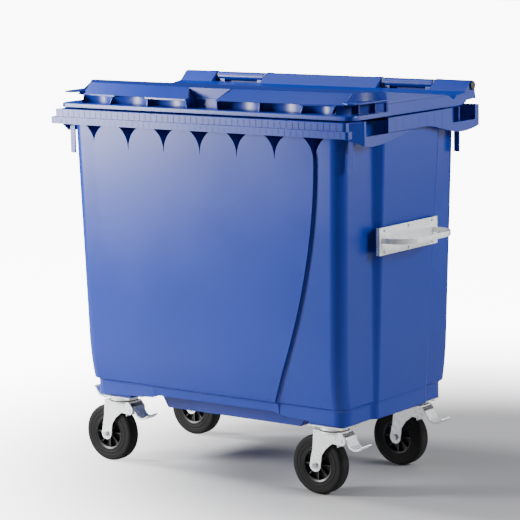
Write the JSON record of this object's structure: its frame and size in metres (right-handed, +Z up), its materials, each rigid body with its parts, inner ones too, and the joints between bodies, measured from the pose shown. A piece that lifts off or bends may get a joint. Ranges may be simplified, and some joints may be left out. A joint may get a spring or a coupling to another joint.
{
  "type": "four-wheeled waste container",
  "caption": "Large moulded waste container with a flat hinged lid, comb rim, corner grips, steel side handles and braked swivel castors.",
  "frame": {"origin": "on the ground under the middle of the container", "axes": "+X to the right across the width, +Y from the front to the hinge side, +Z up"},
  "size_m": [1.3802, 0.78, 1.325],
  "materials": {
    "blue_plastic": "moulded polyethylene, satin",
    "cream_nylon": "natural nylon",
    "black_plastic": "black moulded plastic",
    "seal_rubber": "black rubber",
    "tyre_rubber": "dark grey solid rubber",
    "zinc_steel": "bright zinc plating on pressed steel",
    "bright_steel": "turned steel",
    "yellow_zinc": "yellow passivated zinc"
  },
  "bodies": {
    "container": {"body": "blue_plastic", "hinge_end_caps": "black_plastic", "drain_seal": "seal_rubber", "castor_bolts": "yellow_zinc", "castor_nuts": "zinc_steel", "swivel_balls": "bright_steel", "hinge_rod_left": "bright_steel", "handle_plate_left": "zinc_steel", "handle_loop_left": "zinc_steel", "handle_rivets_left": "bright_steel", "hinge_rod_right": "bright_steel", "handle_plate_right": "zinc_steel", "handle_loop_right": "zinc_steel", "handle_rivets_right": "bright_steel", "castor_plate_fl": "zinc_steel", "king_pin_fl": "bright_steel", "castor_plate_fr": "zinc_steel", "king_pin_fr": "bright_steel", "castor_plate_bl": "zinc_steel", "king_pin_bl": "bright_steel", "castor_plate_br": "zinc_steel", "king_pin_br": "bright_steel"},
    "lid": {"lid": "blue_plastic", "hinge_bushes": "cream_nylon"},
    "drain_plug": {"drain_plug": "black_plastic"},
    "direction_lock": {"direction_lock": "zinc_steel"},
    "fork_fl": {"fork_fl": "zinc_steel", "swivel_seal_fl": "seal_rubber", "axle_fl": "bright_steel"},
    "wheel_fl": {"tyre_fl": "tyre_rubber", "wheel_centre_fl": "black_plastic", "roller_bearing_fl": "cream_nylon"},
    "pedal_fl": {"brake_pedal_fl": "zinc_steel"},
    "shoe_fl": {"brake_shoe_fl": "bright_steel"},
    "fork_fr": {"fork_fr": "zinc_steel", "swivel_seal_fr": "seal_rubber", "axle_fr": "bright_steel"},
    "wheel_fr": {"tyre_fr": "tyre_rubber", "wheel_centre_fr": "black_plastic", "roller_bearing_fr": "cream_nylon"},
    "pedal_fr": {"brake_pedal_fr": "zinc_steel"},
    "shoe_fr": {"brake_shoe_fr": "bright_steel"},
    "fork_bl": {"fork_bl": "zinc_steel", "swivel_seal_bl": "seal_rubber", "axle_bl": "bright_steel"},
    "wheel_bl": {"tyre_bl": "tyre_rubber", "wheel_centre_bl": "black_plastic", "roller_bearing_bl": "cream_nylon"},
    "pedal_bl": {"brake_pedal_bl": "zinc_steel"},
    "shoe_bl": {"brake_shoe_bl": "bright_steel"},
    "fork_br": {"fork_br": "zinc_steel", "swivel_seal_br": "seal_rubber", "axle_br": "bright_steel"},
    "wheel_br": {"tyre_br": "tyre_rubber", "wheel_centre_br": "black_plastic", "roller_bearing_br": "cream_nylon"},
    "pedal_br": {"brake_pedal_br": "zinc_steel"},
    "shoe_br": {"brake_shoe_br": "bright_steel"}
  },
  "joints": [
    {"name": "lid_hinge", "type": "hinge", "parent": "container", "child": "lid", "pos_m": [0, 0.365, 1.304], "axis": [-1, 0, 0], "range_deg": [0, 255]},
    {"name": "drain_turn", "type": "hinge", "parent": "container", "child": "drain_plug", "pos_m": [0, 0, 0.21], "axis": [0, 0, 1], "range_deg": [0, 90]},
    {"name": "direction_lock_tilt", "type": "hinge", "parent": "container", "child": "direction_lock", "pos_m": [-0.5215, -0.239, 0.23], "axis": [0, -1, 0], "range_deg": [0, 10]},
    {"name": "swivel_fl", "type": "hinge", "parent": "container", "child": "fork_fl", "pos_m": [-0.445, -0.239, 0.22], "axis": [0, 0, 1], "continuous": true},
    {"name": "wheel_spin_fl", "type": "hinge", "parent": "fork_fl", "child": "wheel_fl", "pos_m": [-0.5, -0.239, 0.1], "axis": [0, 1, 0], "continuous": true},
    {"name": "brake_pedal_fl", "type": "hinge", "parent": "fork_fl", "child": "pedal_fl", "pos_m": [-0.395, -0.239, 0.192], "axis": [0, 1, 0], "range_deg": [0, 20]},
    {"name": "brake_shoe_fl", "type": "hinge", "parent": "fork_fl", "child": "shoe_fl", "pos_m": [-0.421, -0.239, 0.2], "axis": [0, 1, 0], "range_deg": [0, 4]},
    {"name": "swivel_fr", "type": "hinge", "parent": "container", "child": "fork_fr", "pos_m": [0.445, -0.239, 0.22], "axis": [0, 0, 1], "continuous": true},
    {"name": "wheel_spin_fr", "type": "hinge", "parent": "fork_fr", "child": "wheel_fr", "pos_m": [0.39, -0.239, 0.1], "axis": [0, 1, 0], "continuous": true},
    {"name": "brake_pedal_fr", "type": "hinge", "parent": "fork_fr", "child": "pedal_fr", "pos_m": [0.495, -0.239, 0.192], "axis": [0, 1, 0], "range_deg": [0, 20]},
    {"name": "brake_shoe_fr", "type": "hinge", "parent": "fork_fr", "child": "shoe_fr", "pos_m": [0.469, -0.239, 0.2], "axis": [0, 1, 0], "range_deg": [0, 4]},
    {"name": "swivel_bl", "type": "hinge", "parent": "container", "child": "fork_bl", "pos_m": [-0.445, 0.239, 0.22], "axis": [0, 0, 1], "continuous": true},
    {"name": "wheel_spin_bl", "type": "hinge", "parent": "fork_bl", "child": "wheel_bl", "pos_m": [-0.5, 0.239, 0.1], "axis": [0, 1, 0], "continuous": true},
    {"name": "brake_pedal_bl", "type": "hinge", "parent": "fork_bl", "child": "pedal_bl", "pos_m": [-0.395, 0.239, 0.192], "axis": [0, 1, 0], "range_deg": [0, 20]},
    {"name": "brake_shoe_bl", "type": "hinge", "parent": "fork_bl", "child": "shoe_bl", "pos_m": [-0.421, 0.239, 0.2], "axis": [0, 1, 0], "range_deg": [0, 4]},
    {"name": "swivel_br", "type": "hinge", "parent": "container", "child": "fork_br", "pos_m": [0.445, 0.239, 0.22], "axis": [0, 0, 1], "continuous": true},
    {"name": "wheel_spin_br", "type": "hinge", "parent": "fork_br", "child": "wheel_br", "pos_m": [0.39, 0.239, 0.1], "axis": [0, 1, 0], "continuous": true},
    {"name": "brake_pedal_br", "type": "hinge", "parent": "fork_br", "child": "pedal_br", "pos_m": [0.495, 0.239, 0.192], "axis": [0, 1, 0], "range_deg": [0, 20]},
    {"name": "brake_shoe_br", "type": "hinge", "parent": "fork_br", "child": "shoe_br", "pos_m": [0.469, 0.239, 0.2], "axis": [0, 1, 0], "range_deg": [0, 4]}
  ],
  "couplings": [
    {"joint": "brake_shoe_fl", "follows": "brake_pedal_fl", "ratio": 0.2},
    {"joint": "brake_shoe_fr", "follows": "brake_pedal_fr", "ratio": 0.2},
    {"joint": "brake_shoe_bl", "follows": "brake_pedal_bl", "ratio": 0.2},
    {"joint": "brake_shoe_br", "follows": "brake_pedal_br", "ratio": 0.2}
  ]
}
